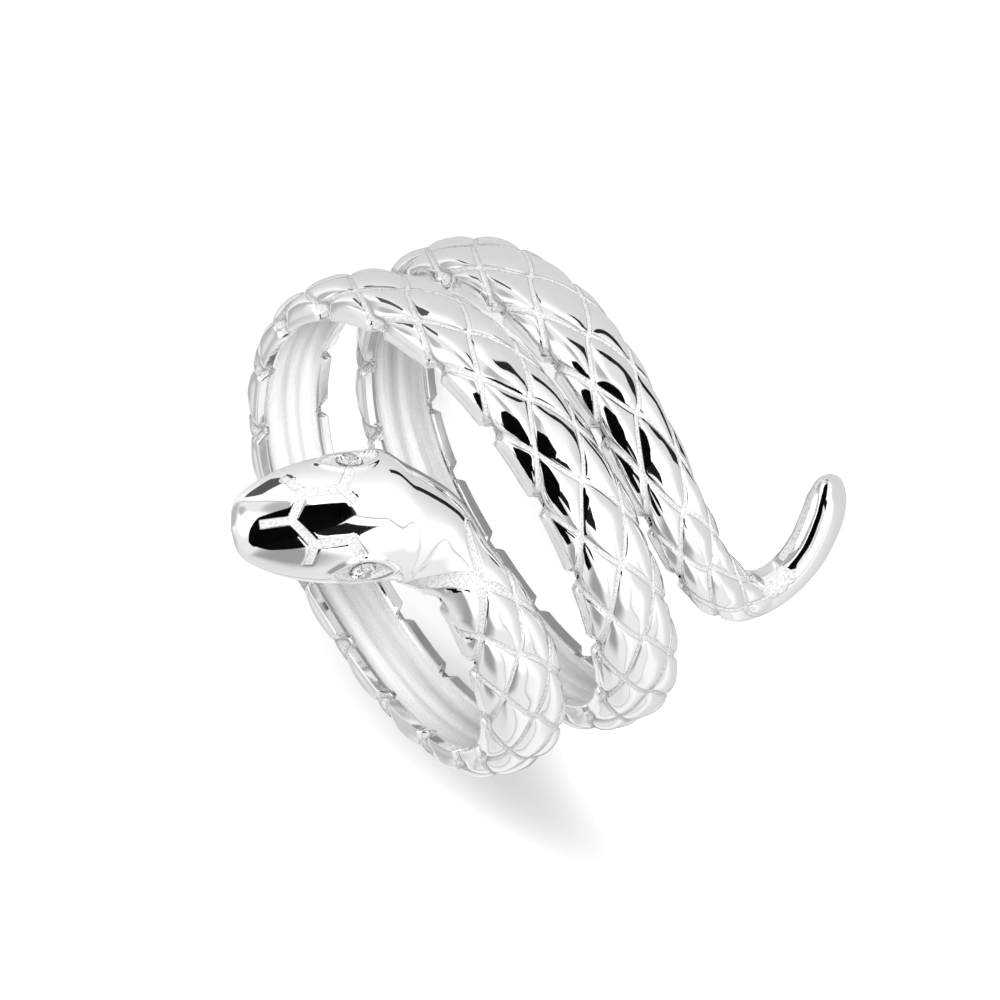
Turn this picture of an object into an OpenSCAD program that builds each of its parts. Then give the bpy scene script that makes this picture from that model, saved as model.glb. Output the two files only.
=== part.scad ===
// Snake ring: one cast silver band that winds a little more than twice round the finger.
// A flat smooth head with two stone eyes sits at one end, a thin curled tail at the other.
// The ring lies on its side: the tail and the edge of the last coil touch the ground.

/* [Ring] */
// Diameter of the finger hole
finger_d = 17; // [16:0.5:19]
// Width of the band
band_w = 3.2; // [2.8:0.1:3.4]
// Thickness of the band at its crown
band_t = 1.25; // [1.1:0.05:1.5]

/* [Scales] */
// Depth of the grooves between the scales
groove_depth = 0.12; // [0.06:0.01:0.16]
// Depth of the notch where two grooves meet at the rim
notch_depth = 0.28; // [0.1:0.02:0.34]

/* [Hollow back] */
// Depth of the channel along the inside of the band
channel_depth = 0.32; // [0.1:0.02:0.4]

/* [Eyes] */
// Diameter of the eye stones
stone_d = 0.95; // [0.8:0.05:1.1]
// Clearance between a stone and its seat
seat_gap = 0.03; // [0.02:0.01:0.06]

/* [Hidden] */

finger_r = finger_d / 2;

// The ring's own frame has Z along the finger, from the head end to the tail end.
// Turns are degrees round Z. The head lies near turn 0.

// Where the head sits
head_up = 2.7;
head_shift = -2.56;
nose_level = -13.74;
head_yaw = 13.4;

// Cross-sections of the head, from the nose back
// columns: distance, half width, height, widest level, lowest level
head_rows = [
    [0, 0.02, 0.6, 0.55, 0.5],
    [0.25, 0.93, 1.2, 0.52, 0.22],
    [0.95, 1.45, 1.7, 0.48, 0.05],
    [2.05, 1.9, 2.12, 0.45, -0.05],
    [3.45, 2.2, 2.4, 0.44, -0.1],
    [5, 2.3, 2.5, 0.44, -0.12],
    [5.85, 2.27, 2.48, 0.42, -0.15],
];

// The neck fans round the corner of the jaw
corner_back = 6.1;
corner_side = 2.55;
corner_round = 0.2;
// columns: share of the bend, half width, height, widest level, lowest level, fullness
bend_rows = [
    [0.125, 2.1, 2.42, 0.38, -0.2, 2],
    [0.375, 1.94, 2.25, 0.32, -0.25, 2.05],
    [0.625, 1.88, 2.05, 0.26, -0.3, 2.05],
    [0.875, 1.82, 1.85, 0.2, -0.35, 2.1],
];

// The neck thins into the band
// columns: turn, level, half width, height, widest level, fullness
neck_rows = [
    [11.5, -6, 1.5, 1.6, 0.16, 2.15],
    [18, -5.5, 1.42, 1.45, 0.14, 2.3],
    [25.5, -5.05, 1.48, 1.35, 0.12, 2.45],
    [34.5, -4.5, 1.58, 1.27, 0.1, 2.6],
    [45.5, -4, 1.62, 1.25, 0.1, 2.65],
];

// Course of the two full coils
// columns: turn, level along the finger
coil_course = [
    [-30, -8.1],
    [30, -4.75],
    [90, -2.45],
    [150, -2.05],
    [210, -2.95],
    [270, -2.85],
    [330, -1.6],
    [390, 0.35],
    [450, 2.7],
    [510, 3.1],
    [570, 2],
    [630, 1.7],
    [690, 2.25],
    [750, 4.2],
];
course_step = 60;
coil_start = 60;
coil_step = 15;
coil_end = 675;
coil_fullness = 2.65;
// Level of the coils where they are widest
coil_widest = 0.1;

// The tail narrows, turns along the finger and curls back
// columns: turn, level, half width, height, widest level, fullness
tail_rows = [
    [690, 2.2, 1.58, 1.24, 0.1, 2.65],
    [704.5, 2.35, 1.47, 1.22, 0.1, 2.75],
    [717.5, 2.55, 1.36, 1.2, 0.1, 2.8],
    [730, 2.85, 1.27, 1.18, 0.1, 2.9],
    [741.5, 3.3, 1.18, 1.15, 0.1, 3],
    [752, 3.9, 1.11, 1.13, 0.1, 3],
    [761, 4.75, 1.05, 1.12, 0.1, 3],
    [767, 5.7, 0.96, 1.1, 0.1, 3],
    [769.5, 6.75, 0.87, 1.09, 0.1, 3],
    [767.5, 7.85, 0.81, 1.07, 0.1, 3],
    [762, 8.8, 0.8, 1.06, 0.12, 3],
    [754.5, 9.5, 0.8, 1.04, 0.15, 2.9],
    [749.5, 9.8, 0.74, 1, 0.2, 2.8],
    [746.5, 9.93, 0.62, 0.87, 0.28, 2.6],
    [744.2, 10, 0.42, 0.72, 0.35, 2.3],
    [743.2, 10.03, 0.03, 0.52, 0.45, 2],
];

// How far the sole of the band reaches into the finger hole before the hole is cut
sole_level = -0.38;
// The sole rises on the thin end rows and stays this far below the widest level
least_flank = 0.03;
sole_fullness = 3;
neck_slope = 22;

// Where the scale columns fall on the rows above
// columns: scale column, row
scale_columns = [
    [-3.75, 0],
    [-3.15, 3],
    [-2.3, 5],
    [-1.5, 7],
    [-0.5, 10],
    [0.15, 12],
    [1, 14],
    [2.25, 16],
    [14, 32.2],
    [20, 40.2],
    [31, 55.5],
    [33, 58.25],
    [34, 59.7],
    [35, 61.6],
    [36, 63.05],
    [37, 64.9],
    [37.4, 66],
];
// Steps of the mesh: six to a scale along the band and three to a half scale across
steps_along = 6;
steps_across = 3;
first_step = -7;
last_step = 224;
plain_head_rows = 8;
plain_tail_row = 66;
end_row = 73;
row_share = 1 / 3;
// Angle of a scale line round the crown: a straight part and a part that grows with its cube
across_angle = 28.8;
across_growth = 2.7;
// Grooves are cut towards a point at this share of the band's height
aim_share = 0.3;
// Share of the notch depth by which the rim below a notch draws in
notch_share = 0.8;

// Channel of the hollow back
// columns: row, level of the channel's floor
channel_course = [
    [12, -0.3],
    [13.5, channel_depth],
    [59.5, channel_depth],
    [61.5, -0.3],
];
sole_edge = 0.95;
land_edge = 0.7;
channel_edge = 0.62;
rim_share = 0.97;
// The channel's floor stays at least this far above the sole
least_rise = 0.01;
// Each rim notch runs on across the land as a shallow nick, at this level
nick_level = 0.1;

function unit(v) = v / norm(v);
function outward(turn) = [cos(turn), sin(turn), 0];
function onward(turn) = [-sin(turn), cos(turn), 0];
finger_axis = [0, 0, 1];

// A smooth curve through four neighbours, at the share t between the middle two
function blend(p0, p1, p2, p3, t) =
    0.5 * (2 * p1 + (p2 - p0) * t + (2 * p0 - 5 * p1 + 4 * p2 - p3) * t * t
        + (3 * p1 - p0 - 3 * p2 + p3) * t * t * t);

// Frame of the head: up, across and back towards the neck
head_out = outward(head_up);
head_back = finger_axis * cos(head_yaw) + onward(head_up) * sin(head_yaw);
head_side = cross(head_out, head_back);
nose = head_out * finger_r + onward(head_up) * head_shift + finger_axis * nose_level;

// Level of the coils at a turn
function coil_level(turn) =
    let(
        place = (turn - coil_course[0][0]) / course_step,
        i = floor(place)
    )
    blend(coil_course[i - 1][1], coil_course[i][1], coil_course[i + 1][1],
        coil_course[i + 2][1], place - i);

// Everything past the bend: turn, level, half width, height, widest level, fullness
band_rows = concat(
    neck_rows,
    [for (turn = [coil_start:coil_step:coil_end])
        [turn, coil_level(turn), band_w / 2, band_t, coil_widest, coil_fullness]],
    tail_rows
);
band_last = len(band_rows) - 1;

// Slope of the band at a row, as an angle from the plain turn round the finger
function band_slope(i) =
    i == 0 ? neck_slope :
    let(
        before = band_rows[i - 1],
        after = band_rows[min(i + 1, band_last)],
        run = (after[0] - before[0]) * PI / 180 * finger_r
    )
    atan2(after[1] - before[1], run);

function slope_side(turn, slope) = finger_axis * cos(slope) - onward(turn) * sin(slope);

// Direction between two others by a share of the angle between them
function swing(from, to, share) =
    let(whole = acos(from * to))
    (from * sin((1 - share) * whole) + to * sin(share * whole)) / sin(whole);

jaw_corner = nose + head_back * corner_back - head_side * corner_side;
neck_out = outward(neck_rows[0][0]);
neck_side = slope_side(neck_rows[0][0], neck_slope);

// Row of the snake: centre, side, up, half width, height, widest level, lowest level, fullness
rows = concat(
    [for (r = head_rows)
        concat(nose + head_back * r[0], head_side, head_out, [r[1], r[2], r[3], r[4], 2])],
    [for (r = bend_rows)
        let(side = swing(head_side, neck_side, r[0]))
        concat(jaw_corner + side * (r[1] + corner_round), side, swing(head_out, neck_out, r[0]),
            [r[1], r[2], r[3], r[4], r[5]])],
    [for (i = [0:band_last])
        let(
            r = band_rows[i],
            sole = min(sole_level + 2 * max(r[4] - coil_widest, 0), r[4] - least_flank)
        )
        concat(outward(r[0]) * finger_r + finger_axis * r[1],
            slope_side(r[0], band_slope(i)), outward(r[0]),
            [r[2], r[3], r[4], sole, r[5]])]
);
last_row = len(rows) - 1;

function row(i) =
    i < 0 ? 2 * rows[0] - rows[1] :
    i > last_row ? 2 * rows[last_row] - rows[last_row - 1] :
    rows[i];
function between_rows(place) =
    let(i = min(floor(place), last_row - 1))
    blend(row(i - 1), row(i), row(i + 1), row(i + 2), place - i);

// Whether a groove runs through a count of mesh steps from the first scale line
function on_line(steps) = steps >= 0 && steps % steps_along == 0;

// Point on the crown, across steps from the middle, sunk where a groove passes
function crown_point(s, along, across, grooved) =
    let(
        line = across / steps_across,
        angle = 90 + across_angle * line + across_growth * pow(line, 3),
        width = s[9] * sign(-cos(angle)) * pow(abs(cos(angle)), 2 / s[13]),
        rise = s[11] + (s[10] - s[11]) * pow(abs(sin(angle)), 2 / s[13]),
        groove = grooved && (on_line(along + across) || on_line(along - across)),
        rim = abs(across) == 2 * steps_across,
        depth = groove ? (rim ? notch_depth : groove_depth) : 0,
        towards = unit([width, rise - aim_share * s[10]])
    )
    [width, rise] - towards * depth;

// Outline of one cross-section, from one rim over the crown to the other and back underneath
function outline(s, place, along, grooved) =
    let(
        reach = 2 * steps_across,
        notched = grooved && on_line(along + reach) && on_line(along - reach),
        rim = s[9] - (notched ? notch_depth * notch_share : 0),
        drop = s[11] - s[12],
        floor_level = max(lookup(place, channel_course), s[12] + least_rise),
        hollow = place > channel_course[0][0] && place < channel_course[3][0]
    )
    concat(
        [[-rim, s[11]]],
        [for (across = [-reach:reach]) crown_point(s, along, across, grooved)],
        [[rim, s[11]]],
        [for (x = [sole_edge, land_edge, channel_edge, -channel_edge, -land_edge, -sole_edge])
            let(
                under = s[11] - drop * pow(1 - pow(abs(x), sole_fullness), 1 / sole_fullness),
                land = notched && hollow ? max(under, nick_level) : under,
                inner = abs(x) == channel_edge
            )
            [min(abs(x) * s[9], rim * rim_share) * sign(x), inner && hollow ? floor_level : land]]
    );

// Places of the cross-sections: plain steps on the head and the tail, scale steps between
// columns: row, mesh step along the scales, whether it is grooved
places = concat(
    [for (k = [0:plain_head_rows / row_share - 1]) [k * row_share, 0, false]],
    [for (k = [first_step:last_step]) [lookup(k / steps_along, scale_columns), k, true]],
    [for (k = [0:(end_row - plain_tail_row) / row_share])
        [plain_tail_row + k * row_share, 0, false]]
);

loops = [for (p = places)
    let(
        s = between_rows(p[0]),
        centre = [s[0], s[1], s[2]],
        side = unit([s[3], s[4], s[5]]),
        lean = [s[6], s[7], s[8]],
        up = unit(lean - side * (lean * side))
    )
    [for (q = outline(s, p[0], p[1], p[2])) centre + side * q[0] + up * q[1]]
];
ring_count = len(loops);
loop_size = len(loops[0]);

function average(points) = [for (k = [0:2]) [for (p = points) p[k]] * [for (p = points) 1 / len(points)]];
skin_points = concat([for (loop = loops) each loop], [average(loops[0])], [average(loops[ring_count - 1])]);
nose_point = ring_count * loop_size;
tip_point = nose_point + 1;

// Two triangles of a mesh square; the cut follows the groove that crosses it
function square(i, j) =
    let(
        a = i * loop_size + j,
        b = a + loop_size,
        j2 = (j + 1) % loop_size,
        c = i * loop_size + j2,
        d = c + loop_size,
        along = places[i][1],
        across = j - 1 - 2 * steps_across,
        falls = on_line(along + across + 1)
    )
    falls ? [[a, c, b], [b, c, d]] : [[a, c, d], [a, d, b]];

skin_faces = concat(
    [for (i = [0:ring_count - 2]) for (j = [0:loop_size - 1]) each square(i, j)],
    [for (j = [0:loop_size - 1]) [nose_point, (j + 1) % loop_size, j]],
    [for (j = [0:loop_size - 1])
        [tip_point, nose_point - loop_size + j, nose_point - loop_size + (j + 1) % loop_size]]
);

// Eyes
eye_back = 4.4;
eye_side = 2.05;
eye_level = 1.39;
eye_lift = 30;
eye_length = 2.2;
eye_width = 1.1;
eye_recess = 0.16;
lid_r = (pow(eye_length / 2, 2) + pow(eye_width / 2, 2)) / eye_width;
stone_table = 0.56;
stone_crown = 0.16;
stone_girdle = 0.03;
stone_pavilion = 0.42;
stone_sink = 0.12;
culet_r = 0.02;
// Sides of the stone's table; the girdle has twice as many
stone_sides = 8;
thin = 0.001;
// How far the cutters reach out of the metal
cutter_reach = 1;
lid_sides = 64;
hole_sides = 128;
hole_length = 60;

// Engraved lines on the head
line_w = 0.3;
line_depth = 0.1;
// The lines are cut towards a point this far below the middle of the head
line_aim = 1;
// columns: distance and side of one end, distance and side of the other
engraved_lines = [
    [0.75, 0, 1.65, 0],
    [1.65, 0, 2.2, 0.92],
    [1.65, 0, 2.2, -0.92],
    [2.2, 0.92, 1.9, 1.45],
    [2.2, -0.92, 1.95, -1.45],
    [2.2, 0.92, 3.6, 0.92],
    [2.2, -0.92, 3.7, -0.88],
    [3.6, 0.92, 4.1, 1.5],
    [3.7, -0.88, 4.15, -1.45],
    [3.6, 0.92, 3.9, 0.5],
];

// Height of the head's surface at a distance from the nose and a distance from its middle
head_profile = [for (r = head_rows) [r[0], r[1], r[2], r[3]]];
function head_height(back, side) =
    let(
        half = lookup(back, [for (r = head_profile) [r[0], r[1]]]),
        top = lookup(back, [for (r = head_profile) [r[0], r[2]]]),
        wide = lookup(back, [for (r = head_profile) [r[0], r[3]]])
    )
    wide + (top - wide) * sqrt(max(0, 1 - pow(side / half, 2)));

// Resting pose on the ground, found where the ring stays by itself
roll = 120.3;
lean = 156.3;
face = -90;
function lying(p) =
    let(
        x = p[0] * cos(roll) - p[1] * sin(roll),
        y = p[0] * sin(roll) + p[1] * cos(roll),
        x2 = x * cos(lean) + p[2] * sin(lean),
        z2 = p[2] * cos(lean) - x * sin(lean)
    )
    [x2 * cos(face) - y * sin(face), x2 * sin(face) + y * cos(face), z2];
lying_points = [for (p = skin_points) lying(p)];
function middle(k) =
    let(values = [for (p = lying_points) p[k]])
    (min(values) + max(values)) / 2;
ground = min([for (p = lying_points) p[2]]);
rest_shift = [-middle(0), -middle(1), -ground];

module at_rest() {
    translate(rest_shift)
        rotate([0, lean, face])
            rotate([0, 0, roll])
                children();
}

// Frame of the head: X from the nose back, Y to the snake's right, Z up out of the head
module on_head() {
    rotate([0, 0, head_up])
        translate([finger_r, head_shift, nose_level])
            rotate([-head_yaw, 0, 0])
                rotate([180, -90, 0])
                    children();
}

// Frame of an eye: Z out of the head; hand is 1 for the right eye and -1 for the left
module at_eye(hand) {
    on_head()
        translate([eye_back, hand * eye_side, eye_level])
            rotate([-hand * (90 - eye_lift), 0, 0])
                children();
}

// Round brilliant with a flat table, grown by extra for its seat
module brilliant(extra) {
    girdle_r = stone_d / 2 + extra;
    hull() {
        translate([0, 0, stone_crown * stone_d + extra])
            rotate([0, 0, 180 / stone_sides])
                cylinder(r = girdle_r * stone_table, h = thin, $fn = stone_sides);
        translate([0, 0, -stone_girdle * stone_d])
            cylinder(r = girdle_r, h = stone_girdle * stone_d, $fn = 2 * stone_sides);
        translate([0, 0, -stone_pavilion * stone_d - extra])
            cylinder(r = culet_r, h = thin, $fn = stone_sides);
    }
}

module almond(height) {
    linear_extrude(height = height)
        intersection() {
            translate([0, lid_r - eye_width / 2])
                circle(r = lid_r, $fn = lid_sides);
            translate([0, eye_width / 2 - lid_r])
                circle(r = lid_r, $fn = lid_sides);
        }
}

module eye_seat(hand) {
    at_eye(hand) {
        translate([0, 0, -eye_recess])
            almond(cutter_reach);
        translate([0, 0, -stone_sink])
            brilliant(seat_gap);
    }
}

module engraving() {
    for (l = engraved_lines) {
        start = [l[0], l[1], head_height(l[0], l[1])];
        end = [l[2], l[3], head_height(l[2], l[3])];
        middle = (start + end) / 2;
        span = end - start;
        reach = norm([span.x, span.y]);
        tilt = atan2(middle.y, middle.z + line_aim);
        on_head()
            translate(middle)
                rotate([-tilt, 0, 0])
                    rotate([0, 0, atan2(span.y / cos(tilt), span.x)])
                        translate([-reach / 2 - line_w / 2, -line_w / 2, -line_depth])
                            cube([reach + line_w, line_w, cutter_reach]);
    }
}

module snake_body() {
    color("silver")
        at_rest()
            difference() {
                polyhedron(points = skin_points, faces = skin_faces, convexity = 10);
                cylinder(r = finger_r, h = hole_length, center = true, $fn = hole_sides);
                engraving();
                eye_seat(1);
                eye_seat(-1);
            }
}

module eye_stone(hand) {
    color("white")
        at_rest()
            at_eye(hand)
                translate([0, 0, -stone_sink])
                    brilliant(0);
}

module eye_stone_left() {
    eye_stone(-1);
}

module eye_stone_right() {
    eye_stone(1);
}

snake_body();
eye_stone_left();
eye_stone_right();
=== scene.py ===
"""Looks of the snake ring: the cast silver band, its eye stones and the studio round it."""

import math

import bmesh
import bpy
import numpy as np
from bpy.props import FloatProperty, FloatVectorProperty, PointerProperty
from mathutils import Matrix, Vector


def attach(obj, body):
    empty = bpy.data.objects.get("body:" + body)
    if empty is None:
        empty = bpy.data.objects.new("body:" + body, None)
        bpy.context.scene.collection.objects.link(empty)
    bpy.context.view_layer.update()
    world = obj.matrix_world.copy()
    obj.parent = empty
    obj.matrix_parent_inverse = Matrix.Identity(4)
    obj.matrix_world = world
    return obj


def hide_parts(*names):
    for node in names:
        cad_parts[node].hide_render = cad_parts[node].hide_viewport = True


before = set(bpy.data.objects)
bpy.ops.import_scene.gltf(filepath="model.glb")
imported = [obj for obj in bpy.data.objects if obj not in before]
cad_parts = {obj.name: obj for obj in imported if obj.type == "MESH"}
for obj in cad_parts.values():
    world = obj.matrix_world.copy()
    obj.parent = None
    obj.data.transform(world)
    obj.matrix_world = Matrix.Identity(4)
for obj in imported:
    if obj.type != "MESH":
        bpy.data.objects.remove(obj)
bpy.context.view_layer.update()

bl_info = {
    "name": "Snake ring",
    "version": (1, 0, 0),
    "blender": (4, 5, 0),
    "location": "View3D > Sidebar > Snake Ring",
    "description": "Builds the silver snake ring and its studio",
    "category": "Object",
}

MM = 0.001

# The ring's own frame is in millimetres, with Z along the finger from the head end.
# Turns are degrees round Z.
FINGER_AXIS = np.array((0, 0, 1))

# Cross-sections of the head, from the nose back
# columns: distance, half width, height, widest level, lowest level
HEAD_ROWS = (
    (0, 0.02, 0.6, 0.55, 0.5),
    (0.25, 0.93, 1.2, 0.52, 0.22),
    (0.95, 1.45, 1.7, 0.48, 0.05),
    (2.05, 1.9, 2.12, 0.45, -0.05),
    (3.45, 2.2, 2.4, 0.44, -0.1),
    (5, 2.3, 2.5, 0.44, -0.12),
    (5.85, 2.32, 2.49, 0.42, -0.15),
)
HEAD_FULLNESS = 2
HEAD_UP = 2.7
HEAD_SHIFT = -2.56
NOSE_LEVEL = -13.74
HEAD_YAW = 13.4

# The neck fans round the corner of the jaw
# columns: share of the bend, half width, height, widest level, lowest level, fullness
BEND_ROWS = (
    (0.125, 2.1, 2.42, 0.38, -0.2, 2),
    (0.375, 1.94, 2.25, 0.32, -0.25, 2.05),
    (0.625, 1.88, 2.05, 0.26, -0.3, 2.05),
    (0.875, 1.82, 1.85, 0.2, -0.35, 2.1),
)
CORNER_BACK = 6.1
CORNER_SIDE = 2.55
CORNER_ROUND = 0.2

# The neck thins into the band
# columns: turn, level, half width, height, widest level, fullness
NECK_ROWS = (
    (11.5, -6, 1.5, 1.6, 0.16, 2.15),
    (18, -5.5, 1.42, 1.45, 0.14, 2.3),
    (25.5, -5.05, 1.48, 1.35, 0.12, 2.45),
    (34.5, -4.5, 1.58, 1.27, 0.1, 2.6),
    (45.5, -4, 1.62, 1.25, 0.1, 2.65),
)
NECK_SLOPE = 22

# Course of the two full coils
# columns: turn, level along the finger
COIL_COURSE = (
    (-30, -8.1),
    (30, -4.75),
    (90, -2.45),
    (150, -2.05),
    (210, -2.95),
    (270, -2.85),
    (330, -1.6),
    (390, 0.35),
    (450, 2.7),
    (510, 3.1),
    (570, 2),
    (630, 1.7),
    (690, 2.25),
    (750, 4.2),
)
COIL_TURNS = range(60, 676, 15)
COIL_WIDEST = 0.1
COIL_FULLNESS = 2.65

# The tail narrows, turns along the finger and curls back
# columns: turn, level, half width, height, widest level, fullness
TAIL_ROWS = (
    (690, 2.2, 1.58, 1.24, 0.1, 2.65),
    (704.5, 2.35, 1.47, 1.22, 0.1, 2.75),
    (717.5, 2.55, 1.36, 1.2, 0.1, 2.8),
    (730, 2.85, 1.27, 1.18, 0.1, 2.9),
    (741.5, 3.3, 1.18, 1.15, 0.1, 3),
    (752, 3.9, 1.11, 1.13, 0.1, 3),
    (761, 4.75, 1.05, 1.12, 0.1, 3),
    (767, 5.7, 0.96, 1.1, 0.1, 3),
    (769.5, 6.75, 0.87, 1.09, 0.1, 3),
    (767.5, 7.85, 0.81, 1.07, 0.1, 3),
    (762, 8.8, 0.8, 1.06, 0.12, 3),
    (754.5, 9.5, 0.8, 1.04, 0.15, 2.9),
    (749.5, 9.8, 0.74, 1, 0.2, 2.8),
    (746.5, 9.93, 0.62, 0.87, 0.28, 2.6),
    (744.2, 10, 0.42, 0.72, 0.35, 2.3),
    (743.2, 10.03, 0.03, 0.52, 0.45, 2),
)

# Lowest level of the band, which rises with the widest level
SOLE_LEVEL = -0.38
SOLE_RISE = 2
LEAST_FLANK = 0.03

# Where the scale columns fall on the rows above
# columns: scale column, row
SCALE_COLUMNS = (
    (-3.75, 0),
    (-3.15, 3),
    (-2.3, 5),
    (-1.5, 7),
    (-0.5, 10),
    (0.15, 12),
    (1, 14),
    (2.25, 16),
    (14, 32.2),
    (20, 40.2),
    (31, 55.5),
    (33, 58.25),
    (34, 59.7),
    (35, 61.6),
    (36, 63.05),
    (37, 64.9),
    (37.4, 66),
    (42, 73),
)
LAST_SCALE = 37.4
TAIL_START = 38.2

# Places across the crown are scale lines, counted from its middle to each side
CROWN_REACH = 2
ACROSS_ANGLE = 28.8
ACROSS_GROWTH = 2.7

# Grooves between the scales, in millimetres
GROOVE_HALF_WIDTH = 0.06
GROOVE_WALL = (-0.05, 0.02)
SCALE_HALF_SPACING = 0.73
CROSSING_ROUND = 0.05
RIM_ROUND = 0.55
RIM_FLARE = 0.09
COLLAR_FLARE = 0.1

# Where things begin and end along the scales
GROOVES_START = (-0.75, -0.45)
FIRST_NOTCH = -0.5
SWELL_START = (-0.2, 0.3)
COLLAR_END = (0.1, 0.6)
RELIEF_END = (LAST_SCALE - 0.3, LAST_SCALE + 0.1)
TAIL_FROST_START = (TAIL_START, TAIL_START + 0.3)

# Facet along each rim
CREASE_LINE = 1.84
CREASE_BLUR = 0.04
CREASE_CLEAR = 0.015
FACET_DROP = 0.08
LEAST_RELIEF = 0.02

# Notches in the rim: flat part and reach along it, and how much of the section they draw in
NOTCH_FLAT = 0.2
NOTCH_REACH = 0.42
RIM_LINES = (1.7, 2)
RIM_SHARES = (0.8, 0.9)

# The back of the head sinks, and the first falling line swings, towards the corner of the jaw
JAW_SWING = 0.6
JAW_DROP = 0.2
# columns: start and end of the rise, start and end of the fall
JAW_DROP_ROWS = (6.2, 9.8, 10.2, 11.6)
JAW_DROP_LINES = (-2, -1.3, -1.2, 0.6)

# Rough patch where the scales end before the tail
PATCH_SCALE = 37.75
PATCH_LINE = 1.3
PATCH_SCALE_LENGTH = 1.7
PATCH_LINE_WIDTH = 0.62
PATCH_HALF_LENGTH = 0.9
PATCH_HALF_WIDTH = 0.6
PATCH_WOBBLE = 0.09
PATCH_WAVES_ALONG = 11
PATCH_WAVES_ACROSS = 9

# Distances to the edge of the frost where no groove is near, on the rims and in their notches
FAR_EDGE = 9.0
CLEAR_EDGE = 1.0
RIM_EDGE = 0.2
NOTCH_FROST = 0.6
TAIL_FROST = 1.2

# Underside, as shares of the half width, with the channel between two lands
UNDERSIDE_SHARES = (0.995, 0.975, 0.94, 0.88, 0.8, 0.7, 0.66, 0.62, 0.54, 0.46, 0.38, 0.28, 0.19, 0.1)
UNDERSIDE = np.array((*UNDERSIDE_SHARES, 0, *(-share for share in reversed(UNDERSIDE_SHARES))))
LAND_EDGE = 0.7
SATIN_EDGE = 0.66
CHANNEL_EDGE = 0.62
CHANNEL_LIP = -0.02
RIDGE_HEIGHT = 0.045
RIDGE_WAVES = 15
# columns: start and end of the channel's deepening, start and end of its fading, as rows
CHANNEL_ROWS = (12, 13.5, 59.5, 61.5)

# Mesh steps: along the band to one scale, across from the crown to the rim
STEPS_ALONG = 22
STEPS_ACROSS = 22
FLANK_STEPS = 3
HEAD_FINER = 2
HEAD_ROW_END = 7.7
HEAD_STEP = 0.055
SEAM_STEP = 0.02
TIP_ROW = 72.95
LEAST_SCALE_STEP = 1e-6
LEAST_NORMAL = 1e-12

# Eyes
EYE_BACK = 4.4
EYE_SIDE = 2.05
EYE_LEVEL = 1.39
EYE_LIFT = 30
EYE_LENGTH = 2.2
EYE_WIDTH = 1.1
EYE_RECESS = 0.16
EYE_DEEPEST = 0.8
EYE_WALL = (-0.07, 0.02)
EYE_CUT_REACH = 0.1
LID_RISE = 0.06
LID_OUT = 0.12
LID_WIDTH = 0.1
SEAT_RADIUS = 0.5
SEAT_SLOPE = 0.85

# Engraved lines on the head
# columns: distance and side of one end, distance and side of the other
ENGRAVED_LINES = (
    (0.75, 0, 1.65, 0),
    (1.65, 0, 2.2, 0.92),
    (1.65, 0, 2.4, -0.92),
    (2.2, 0.92, 1.9, 1.45),
    (2.4, -0.92, 2.3, -1.45),
    (2.2, 0.92, 3.6, 0.92),
    (2.4, -0.92, 3.7, -0.88),
    (3.6, 0.92, 4.1, 1.5),
    (3.7, -0.88, 4.15, -1.45),
    (3.6, 0.92, 3.9, 0.5),
)
ENGRAVED_WIDTH = 0.28
ENGRAVED_DEPTH = 0.05
ENGRAVED_WALL = 0.04
ENGRAVED_LEAST_LEVEL = 0.9
ENGRAVED_LEAST_FACING = 0.2

# Resting pose on the ground
ROLL = 120.3
LEAN = 156.3
FACE = -90
REST_SHIFT = (-0.3586, 0.8136, 6.6889)
REST_TURN = Matrix.Rotation(math.radians(FACE), 3, "Z") @ Matrix.Rotation(
    math.radians(LEAN), 3, "Y") @ Matrix.Rotation(math.radians(ROLL), 3, "Z")

# Camera in the ring's frame
CAMERA_PLACE = (143.84, 0, -71.44)
CAMERA_RIGHT = (0.4106, 0.3481, 0.8427)
CAMERA_DOWN = (-0.1525, 0.9374, -0.3130)
CAMERA_LENS = 153.4
CAMERA_SHIFT = (0.053, 0.015)
CAMERA_SENSOR = 36
CAMERA_CLIP = (0.01, 20)

# Numbers that the mesh of the snake keeps for each point
STORED_VALUES = ("groove_edge", "satin", "place_across", "place_along")

# Silver: blur of the frost's edge, thin dark lines of painted shade along it, and specks in it
FROST_BLUR = 0.03
EDGE_SHADE_RANGE = (0.01, 0.06)
EDGE_SHADE_SHARE = 0.6
EDGE_SHADE_COLOUR = (0.3, 0.31, 0.31, 1)
SPECK_SCALE = 13000
SPECK_RANGE = (0.38, 0.5)
SPECK_SHARE = 0.75
SPECK_COLOUR = (0.35, 0.36, 0.36, 1)
GRAIN_SCALE = 12000
GRAIN_DEPTH = 0.00004
GRAIN_STRENGTH = 0.8
FROST_METALLIC = 0.25
SATIN_METALLIC = 0.3
# Streaks along the channel
STREAKS_ACROSS = 3.2
STREAKS_ALONG = 0.3
STREAK_RANGE = (0.35, 0.65)
STREAK_COLOUR = (0.66, 0.67, 0.665, 1)

# Stones
STONE_IOR = 2.2
STONE_CLOUD_SCALE = 900
STONE_CLOUD_COLOUR = (0.93, 0.95, 0.97, 1)

# Soft light and grey patches of the sky, which the polish reflects
# columns: azimuth, elevation, half width, half height, brightness
SKY_PATCHES = (
    (-115, 47, 60, 26, 0.36),
    (-60, 18, 45, 28, 1.6),
    (45, 48, 65, 30, 1.45),
    (70, 22, 26, 14, 0.5),
    (120, 6, 50, 24, 0.5),
    (10, 8, 18, 14, 0.5),
    (180, 30, 50, 34, 0.78),
)
SKY_BASE = 0.88
PATCH_FADE = (0.05, 1)

# Dark cards near the ring, which its polish reflects
CARD_AZIMUTH = -20
CARD_ELEVATION = 25
CARD_DISTANCE = 45
CARD_LEVEL = 8
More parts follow.
